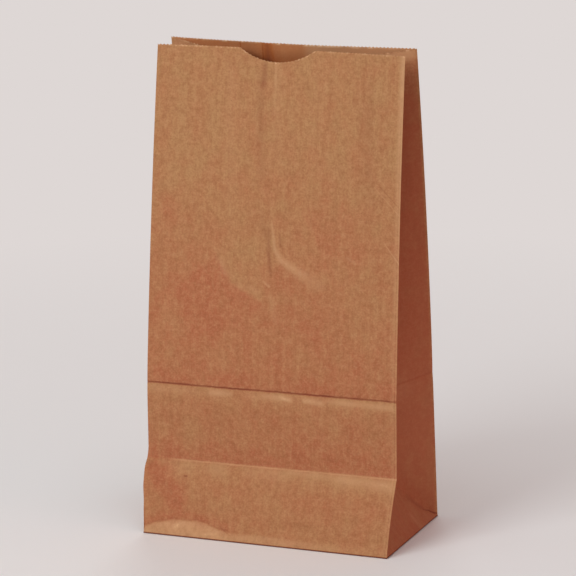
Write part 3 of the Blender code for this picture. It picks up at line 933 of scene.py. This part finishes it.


# Each mark: its start and end in millimetres from the front's middle and up the paper, its reach at each
# end, and how light (or, below nothing, how dark) it is. The last rows are on the right pleat's foot.
# Most are painted light and shade: light strokes where wrinkles and the paper under the folds face the light,
# some partly rubbed paper, and dark strokes of painted shade in valleys and under the pleat's overlapping fold.
# The strokes near the right edge between 167 and 210 millimetres up are scratches, and the short dark dash low
# on the left is a fleck.
MARKS = (
    ((-1.7, 186), (-0.1, 178), 0.8, 1.5, 0.40),
    ((-0.1, 178), (1.1, 170.5), 1.5, 2.2, 0.50),
    ((1.1, 170.5), (4.8, 164.8), 2.2, 3.2, 0.60),
    ((4.8, 164.8), (12, 160.4), 3.2, 4.2, 0.66),
    ((12, 160.4), (19, 156.6), 4.2, 5.2, 0.58),
    ((19, 156.6), (28, 152), 5.2, 6.2, 0.32),
    ((-3.4, 182), (-2.9, 168), 1.4, 2.0, -0.26),
    ((-2.9, 168), (-1.0, 156), 2.0, 1.5, -0.34),
    ((-7.5, 188), (-5.5, 178), 2.4, 3.6, -0.20),
    ((3.6, 179), (4.3, 172), 1.1, 1.2, -0.28),
    ((-5.4, 151.8), (-1.9, 149.2), 1.0, 1.4, 0.62),
    ((-0.6, 143), (2.4, 130), 2.4, 3.0, 0.16),
    ((-31.2, 161), (-28.8, 155), 2.8, 3.0, 0.28),
    ((-13, 148), (-9.5, 145), 2.4, 2.4, 0.26),
    ((45, 168.5), (49.5, 166), 1.8, 1.8, 0.30),
    ((-9.6, 276), (-10.3, 262), 2.4, 2.8, -0.34),
    ((-3.3, 276), (-2.8, 262), 1.1, 1.5, 0.44),
    ((-2.8, 262), (-2.6, 246), 1.5, 1.0, 0.20),
    ((60, 209), (75.5, 194), 0.45, 0.65, 0.34),
    ((63.5, 209.5), (76, 197.5), 0.45, 0.65, -0.30),
    ((67, 178), (76, 167), 0.5, 0.8, 0.50),
    ((-51.9, 35.2), (-50.2, 35.3), 0.55, 0.75, -0.95),
    ((-56, 5.4), (-50, 6.8), 2.6, 2.2, 0.42),
    ((-37, 2.2), (-29, 3.2), 1.6, 1.4, 0.42),
    ((-27, 7.6), (-20.5, 3.4), 0.9, 0.8, -0.34),
    ((-36, 85.6), (-24, 85.8), 3.0, 2.6, 0.42),
    ((-4, 86.2), (6, 86.0), 2.0, 2.4, 0.36),
    ((6, 86.2), (12, 85.0), 2.2, 2.4, 0.66),
    ((21, 85.6), (31, 84.6), 2.6, 3.0, 0.60),
    ((35, 86.2), (72, 85.4), 2.2, 2.8, 0.34),
    ((12, 42.6), (42, 42.0), 2.2, 4.0, 0.34),
    ((42, 42.0), (73, 39.8), 4.0, 5.6, 0.42),
    ((67, 40.6), (72.5, 39.8), 2.2, 2.2, 0.62),
    ((165.1, 1.2), (161.5, 2.8), 0.5, 1.2, -0.95),
    ((161.5, 2.8), (157.8, 5.6), 1.2, 1.0, -0.90),
    ((157.8, 5.6), (152.5, 8.0), 1.0, 0.6, -0.60),
    ((153, 9.0), (142, 19.0), 2.5, 4.0, -0.24),
    ((136.5, 1.5), (133, 10.0), 4.0, 3.2, 0.20),
)

# The long lines: places and reaches in millimetres, and how dark the lines of painted shade are.
FRONT_EDGE = HALF_WIDTH / MM
UPPER_REACH = 1.0
LOWER_REACH = 0.8
STRIP_REACH = 3.4
GROOVE_REACH = 0.6
GROOVE_SHADE = 0.34
LAP_LINES = [(WIDTH + DEPTH - SEAM_OFFSET + side * SEAM_LAP / 2) / MM for side in (-1, 1)]
LAP_REACH = 0.7
LAP_SHADOW = 0.45
DENT_LINE_SHADE = 0.16


def marked(tree, worn_lit_and_shaded, sheet_mm, broken):
    """The lines so far with the drawn marks over them: the lightest mark, broken up by noise, less the darkest
    one; mostly painted light and shade.
    """
    group = stroke_group()
    light, dark = 0.0, 0.0
    for start, end, start_reach, end_reach, strength in MARKS:
        inputs = {"Place": sheet_mm, "Start": (*start, 0.0), "End": (*end, 0.0), "Start Reach": start_reach,
                  "End Reach": end_reach, "Strength": abs(strength)}
        amount = add_node(tree, "ShaderNodeGroup", node_tree=group, inputs=inputs).outputs["Amount"]
        if strength > 0.0:
            light = maths(tree, "MAXIMUM", amount, light)
        else:
            dark = maths(tree, "MAXIMUM", amount, dark)
    light = product(tree, light, spread(tree, broken, 0.35, 0.62, 0.50, 1.20))
    return maths(tree, "ADD", worn_lit_and_shaded, maths(tree, "SUBTRACT", light, dark))


def creased(tree, worn_lit_and_shaded, x, s, wobble, uneven):
    """The lines so far with the long ones: painted shade in the upper crosswise fold, a painted highlight under
    the lower one, a lighter strip down the front's right edge, a groove's painted shade beside it and painted
    shadow at the lap's sides.
    """
    front = spread(tree, x, FRONT_EDGE + 0.5, FRONT_EDGE)
    wavy = maths(tree, "ADD", s, spread(tree, wobble, 0.2, 0.8, -0.35, 0.35))
    upper = soft_line(tree, wavy, DEPTH / MM + 0.1, UPPER_REACH)
    upper = product(tree, upper, front, spread(tree, uneven, 0.3, 0.7, 0.62, 1.05))
    lower = soft_line(tree, wavy, GUSSET / MM - 0.4, LOWER_REACH)
    lower = product(tree, lower, spread(tree, x, -66.0, -56.0), front)
    lower = product(tree, lower, spread(tree, uneven, 0.3, 0.7, 0.30, 0.80))
    strip = soft_line(tree, x, FRONT_EDGE - 1.2, STRIP_REACH)
    strip = product(tree, strip, front, spread(tree, s, 90.0, 250.0, 0.28, 0.76))
    groove = soft_line(tree, x, FRONT_EDGE - 1.6, GROOVE_REACH)
    groove = product(tree, groove, spread(tree, s, 268.0, 240.0), GROOVE_SHADE)
    laps = maths(tree, "MAXIMUM", *(soft_line(tree, x, line, LAP_REACH) for line in LAP_LINES))
    worn_lit_and_shaded = maths(tree, "SUBTRACT", worn_lit_and_shaded, maths(tree, "ADD", upper, product(tree, laps, LAP_SHADOW)))
    worn_lit_and_shaded = maths(tree, "ADD", maths(tree, "ADD", worn_lit_and_shaded, lower), strip)
    return maths(tree, "SUBTRACT", worn_lit_and_shaded, groove)


def dented(tree, worn_lit_and_shaded, x, uneven):
    """The lines so far with the dent: a painted lit facet under its arched crease and along the lip, and a soft
    line of painted shade.
    """
    above = maths(tree, "ADD", point_value(tree, "above_dent"), spread(tree, uneven, 0.25, 0.75, -0.9, 0.9))
    dent = spread(tree, x, DENT_END[0] / MM, DENT_END[1] / MM, 1.0, 0.0)
    share = maths(tree, "MAXIMUM", dent, spread(tree, x, 16.0, 62.0, 0.60, 0.12))
    lit_facet = product(tree, spread(tree, above, 0.7, -0.9), spread(tree, uneven, 0.35, 0.65, 0.46, 0.92), share)
    line = product(tree, soft_line(tree, above, 0.9, 1.3), DENT_LINE_SHADE, dent)
    return maths(tree, "ADD", worn_lit_and_shaded, maths(tree, "SUBTRACT", lit_facet, line))


# Each noise on the sheet: the size of its features in metres, how far they are stretched across and up the
# paper, its detail, its roughness and its shift.
NOISES = {
    "broad": (0.0110, (1.0, 1.5), 3.0, 0.60, 0.0),
    "streaks": (0.0032, (1.0, 9.0), 2.0, 0.55, 13.0),
    "patchy": (0.0046, (1.0, 1.2), 3.0, 0.60, 3.0),
    "grain": (0.0023, (1.0, 1.1), 2.0, 0.60, 17.0),
    "fine": (0.0011, (1.0, 1.0), 2.0, 0.60, 5.0),
    "upright": (0.0009, (0.6, 9.0), 2.0, 0.55, 7.0),
    "level": (0.0008, (5.0, 0.7), 2.0, 0.55, 9.0),
    "fleck": (0.0016, (1.0, 0.5), 1.0, 0.50, 11.0),
}

# Each mottle laid over the paper: the noise that it follows, the noise's value where it starts and where it
# has its whole share, that share, and its ink.
MOTTLES = (
    ("streaks", 0.50, 0.75, 0.24, (192, 148, 103)),
    ("streaks", 0.50, 0.25, 0.24, (152, 98, 62)),
    ("patchy", 0.50, 0.72, 0.34, (193, 149, 106)),
    ("patchy", 0.50, 0.28, 0.34, (152, 96, 61)),
    ("grain", 0.50, 0.72, 0.34, (146, 94, 60)),
    ("grain", 0.50, 0.28, 0.34, (196, 150, 107)),
    ("fine", 0.50, 0.72, 0.30, (142, 91, 57)),
    ("fine", 0.50, 0.28, 0.28, (200, 154, 110)),
    ("upright", 0.52, 0.75, 0.24, (148, 95, 60)),
    ("level", 0.55, 0.75, 0.12, (198, 153, 110)),
    ("fleck", 0.74, 0.80, 0.45, (112, 68, 44)),
)

# The paper's other inks. The red pulp ink also serves painted shade, the pleat and inside inks are painted shade
# and the foot's is painted shadow. Lighter lines blend to the rubbed and lit ink, then to torn, and below
# nothing to the pressed and shaded ink.
YELLOW_PULP = (178, 134, 89)
RED_PULP_AND_SHADE = (176, 105, 72)
PLEAT_SHADE_INK = (160, 80, 53)
INSIDE_SHADE_INK = (180, 93, 28)
RUBBED_AND_LIT_INK = (207, 164, 121)
TORN_INK = (236, 200, 158)
PRESSED_AND_SHADED_INK = (124, 58, 40)
FOOT_SHADOW_INK = (104, 42, 32)


def tinted(tree, colour, value, start, end, share, tint):
    """A colour with an ink over it: none where the value is at the start, and its share at the end."""
    return blended(tree, spread(tree, value, start, end, 0.0, share), colour, ink(*tint))


def upward(tree, vector):
    """The Z part of a vector."""
    return add_node(tree, "ShaderNodeSeparateXYZ", inputs={"Vector": vector}).outputs["Z"]


def kraft_paper():
    """The paper's material: clouded colour, fibres, flecks, rubbed folds and painted light and shade, on a matt
    shader.
    """
    material = bpy.data.materials.new("kraft_paper")
    material.use_nodes = True
    tree = material.node_tree
    shader = tree.nodes["Principled BSDF"]
    place = add_node(tree, "ShaderNodeUVMap", uv_map="sheet").outputs["UV"]
    scales = (SHEET_UNIT / MM, SHEET_UNIT / MM, 1.0)
    moves = {"Vector": place, "Scale": scales, "Location": (-FRONT_EDGE, 0.0, 0.0)}
    sheet_mm = add_node(tree, "ShaderNodeMapping", inputs=moves).outputs["Vector"]
    parts = add_node(tree, "ShaderNodeSeparateXYZ", inputs={"Vector": sheet_mm}).outputs
    noise = {name: clouds(tree, place, *values) for name, values in NOISES.items()}
    inside = point_value(tree, "inside")

    # The lines of rubbing and painted light and shade: from the point values, the inner face, the dent, the long
    # folds and the drawn marks.
    worn_lit_and_shaded = product(tree, inside, point_value(tree, "inner_light_and_shade"))
    worn_lit_and_shaded = maths(tree, "ADD", point_value(tree, "wear_light_and_shade"), worn_lit_and_shaded)
    worn_lit_and_shaded = dented(tree, worn_lit_and_shaded, parts["X"], noise["patchy"])
    worn_lit_and_shaded = creased(tree, worn_lit_and_shaded, parts["X"], parts["Y"], noise["patchy"], noise["broad"])
    worn_lit_and_shaded = marked(tree, worn_lit_and_shaded, sheet_mm, noise["grain"])

    # Redness: pulp clouds from noise, over the point value that holds painted shade.
    uneven = spread(tree, noise["broad"], 0.30, 0.70, -0.27, 0.27)
    redness = maths(tree, "ADD", point_value(tree, "red_tone_and_shade"), uneven)
    plain = blended(tree, redness, ink(*YELLOW_PULP), ink(*RED_PULP_AND_SHADE))
    colour = plain
    for name, start, end, share, tint in MOTTLES:
        colour = tinted(tree, colour, noise[name], start, end, share, tint)
    # Painted shade on the pleats: a darker, redder ink over the unmottled colour.
    pleat_shaded = blended(tree, 0.50, plain, ink(*PLEAT_SHADE_INK))
    colour = blended(tree, product(tree, point_value(tree, "pleat_shade"), 0.62), colour, pleat_shaded)
    # Painted shade inside the bag: a deep orange on the inner face, for light bounced between its walls.
    colour = blended(tree, product(tree, inside, 0.62), colour, ink(*INSIDE_SHADE_INK))
    # Lighter for rubbing and painted light, palest at the torn cut, darker for pressed folds and painted shade.
    colour = tinted(tree, colour, worn_lit_and_shaded, 0.0, 1.0, 0.75, RUBBED_AND_LIT_INK)
    colour = tinted(tree, colour, worn_lit_and_shaded, 1.0, 1.5, 0.80, TORN_INK)
    colour = tinted(tree, colour, worn_lit_and_shaded, 0.0, -1.0, 0.88, PRESSED_AND_SHADED_INK)

    # Painted shadow: a dark red line along the foot, within about a millimetre of the floor, on all but the
    # downward faces.
    height = upward(tree, add_node(tree, "ShaderNodeTexCoord").outputs["Object"])
    facing = upward(tree, add_node(tree, "ShaderNodeNewGeometry").outputs["Normal"])
    foot = product(tree, spread(tree, height, 0.00105, 0.00065), spread(tree, facing, -0.9, -0.5), 0.9)
    colour = blended(tree, foot, colour, ink(*FOOT_SHADOW_INK))
    tree.links.new(colour, shader.inputs["Base Color"])

    tree.links.new(spread(tree, noise["patchy"], 0.3, 0.7, 0.76, 0.88), shader.inputs["Roughness"])
    shader.inputs["Specular IOR Level"].default_value = 0.25

    rough = maths(tree, "ADD", maths(tree, "ADD", noise["upright"], noise["level"]), noise["fine"])
    bump = add_node(tree, "ShaderNodeBump", inputs={"Strength": 0.35, "Distance": 0.00012, "Height": rough})
    tree.links.new(bump.outputs["Normal"], shader.inputs["Normal"])
    return material


bag.data.materials.clear()
bag.data.materials.append(kraft_paper())
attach(bag, "root")
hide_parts("paper_bag")


# The studio.
# A pale paper sweep: a flat floor that turns up into a backdrop well behind the bag.

SWEEP_HALF = 3.0
SWEEP_FRONT = -3.0
SWEEP_BEND = 2.2
SWEEP_RADIUS = 1.2
SWEEP_TOP = 3.5
SWEEP_GLOW_FROM = 0.12
SWEEP_GLOW_TO = 0.85
PALE = (222, 215, 213)


def sweep_profile():
    """Depth and height along the sweep: a straight floor, a quarter circle and a straight rise."""
    turn = np.linspace(0.0, math.pi / 2, 33)
    y = np.concatenate([[SWEEP_FRONT], SWEEP_BEND + SWEEP_RADIUS * np.sin(turn), [SWEEP_BEND + SWEEP_RADIUS]])
    z = np.concatenate([[0.0], SWEEP_RADIUS * (1.0 - np.cos(turn)), [SWEEP_TOP]])
    return y, z


def mixed_light(tree, factor, first, second):
    """Mix two shaders by a factor."""
    node = add_node(tree, "ShaderNodeMixShader", inputs={"Fac": factor})
    tree.links.new(first, node.inputs[1])
    tree.links.new(second, node.inputs[2])
    return node.outputs["Shader"]


sweep_y, sweep_z = sweep_profile()
sweep_count = len(sweep_y)
sweep_points = np.stack(
    [np.tile([-SWEEP_HALF, SWEEP_HALF], sweep_count), np.repeat(sweep_y, 2), np.repeat(sweep_z, 2)], axis=-1
)
sweep_steps = np.arange(sweep_count - 1)[:, None] * 2
sweep_mesh = bpy.data.meshes.new("sweep")
sweep_mesh.from_pydata(sweep_points.tolist(), [], (sweep_steps + np.array([0, 1, 3, 2])).tolist())
sweep_mesh.shade_smooth()
sweep = bpy.data.objects.new("sweep", sweep_mesh)
bpy.context.scene.collection.objects.link(sweep)
sweep_paint = bpy.data.materials.new("pale_sweep")
sweep_paint.use_nodes = True
sweep_tree = sweep_paint.node_tree
sweep_shader = sweep_tree.nodes["Principled BSDF"]
sweep_shader.inputs["Base Color"].default_value = ink(238, 243, 243)
sweep_shader.inputs["Roughness"].default_value = 0.9
sweep_shader.inputs["Specular IOR Level"].default_value = 0.1
sweep_place = add_node(sweep_tree, "ShaderNodeTexCoord").outputs["Object"]
sweep_away = add_node(sweep_tree, "ShaderNodeVectorMath", operation="LENGTH", inputs={"Vector": sweep_place})
sweep_far = spread(sweep_tree, sweep_away.outputs["Value"], SWEEP_GLOW_FROM, SWEEP_GLOW_TO)
seen = add_node(sweep_tree, "ShaderNodeLightPath").outputs["Is Camera Ray"]
glow = add_node(sweep_tree, "ShaderNodeEmission", inputs={"Color": ink(*PALE), "Strength": 1.0})
glow_share = product(sweep_tree, sweep_far, seen)
mixed = mixed_light(sweep_tree, glow_share, sweep_shader.outputs["BSDF"], glow.outputs["Emission"])
sweep_tree.links.new(mixed, sweep_tree.nodes["Material Output"].inputs["Surface"])
sweep_mesh.materials.append(sweep_paint)


# Light.
# One big soft lamp in front, to the left and above, weaker ones overhead and behind, a low warm bounce from
# the right and a pale even surround.

AIM = Vector((0.0, 0.0, 0.13))
WARM = (1.0, 0.42, 0.36)
SURROUND_COLOUR = (1.0, 0.76, 0.73, 1.0)
SURROUND_STRENGTH = 0.30


def add_softbox(name, place, size, watts, colour=(1.0, 1.0, 1.0)):
    """A square area lamp at a place, turned to the bag."""
    lamp = bpy.data.lights.new(name, "AREA")
    lamp.shape = "SQUARE"
    lamp.size = size
    lamp.energy = watts
    lamp.color = colour
    holder = bpy.data.objects.new(name, lamp)
    place = Vector(place)
    turn = (AIM - place).to_track_quat("-Z", "Y")
    holder.matrix_world = Matrix.Translation(place) @ turn.to_matrix().to_4x4()
    bpy.context.scene.collection.objects.link(holder)


add_softbox("key_softbox", (-0.72, -1.60, 1.00), 0.95, 17.0)
add_softbox("top_softbox", (0.1, -0.4, 2.1), 1.2, 9.0)
add_softbox("back_softbox", (-0.5, 1.7, 1.3), 1.0, 9.0)
add_softbox("warm_bounce", (1.5, -0.35, 0.30), 0.9, 4.6, WARM)

surround = bpy.data.worlds.new("surround")
surround.use_nodes = True
surround_tree = surround.node_tree
lit = surround_tree.nodes["Background"]
lit.inputs["Color"].default_value = SURROUND_COLOUR
lit.inputs["Strength"].default_value = SURROUND_STRENGTH
shown = add_node(surround_tree, "ShaderNodeBackground", inputs={"Color": ink(*PALE), "Strength": 1.0})
looked_at = add_node(surround_tree, "ShaderNodeLightPath").outputs["Is Camera Ray"]
either = mixed_light(surround_tree, looked_at, lit.outputs["Background"], shown.outputs["Background"])
surround_tree.links.new(either, surround_tree.nodes["World Output"].inputs["Surface"])
bpy.context.scene.world = surround
bpy.context.scene.view_settings.view_transform = "Standard"


# Camera.
# A long lens a little to the right of the bag's front and above it, tipped by less than a degree.

CAMERA_AZIMUTH = math.radians(21.59)
CAMERA_RISE = math.radians(12.54)
CAMERA_ROLL = math.radians(-0.64)
CAMERA_AWAY = 1.73576
CAMERA_TARGET = Vector((0.0, 0.0, 0.140))
CAMERA_SHIFT = (0.00058, 0.00104)
SENSOR = 36.0
LENS = 189.34

back = Vector((
    math.sin(CAMERA_AZIMUTH) * math.cos(CAMERA_RISE),
    -math.cos(CAMERA_AZIMUTH) * math.cos(CAMERA_RISE),
    math.sin(CAMERA_RISE),
))
level_right = (-back).cross(Vector((0.0, 0.0, 1.0))).normalized()
level_up = level_right.cross(-back)
right = math.cos(CAMERA_ROLL) * level_right + math.sin(CAMERA_ROLL) * level_up
up = math.cos(CAMERA_ROLL) * level_up - math.sin(CAMERA_ROLL) * level_right
camera_data = bpy.data.cameras.new("camera")
camera_data.sensor_width = SENSOR
camera_data.lens = LENS
camera = bpy.data.objects.new("camera", camera_data)
stand = CAMERA_TARGET + back * CAMERA_AWAY + right * CAMERA_SHIFT[0] + up * CAMERA_SHIFT[1]
camera.matrix_world = Matrix.Translation(stand) @ Matrix((right, up, back)).transposed().to_4x4()
bpy.context.scene.collection.objects.link(camera)
bpy.context.scene.camera = camera
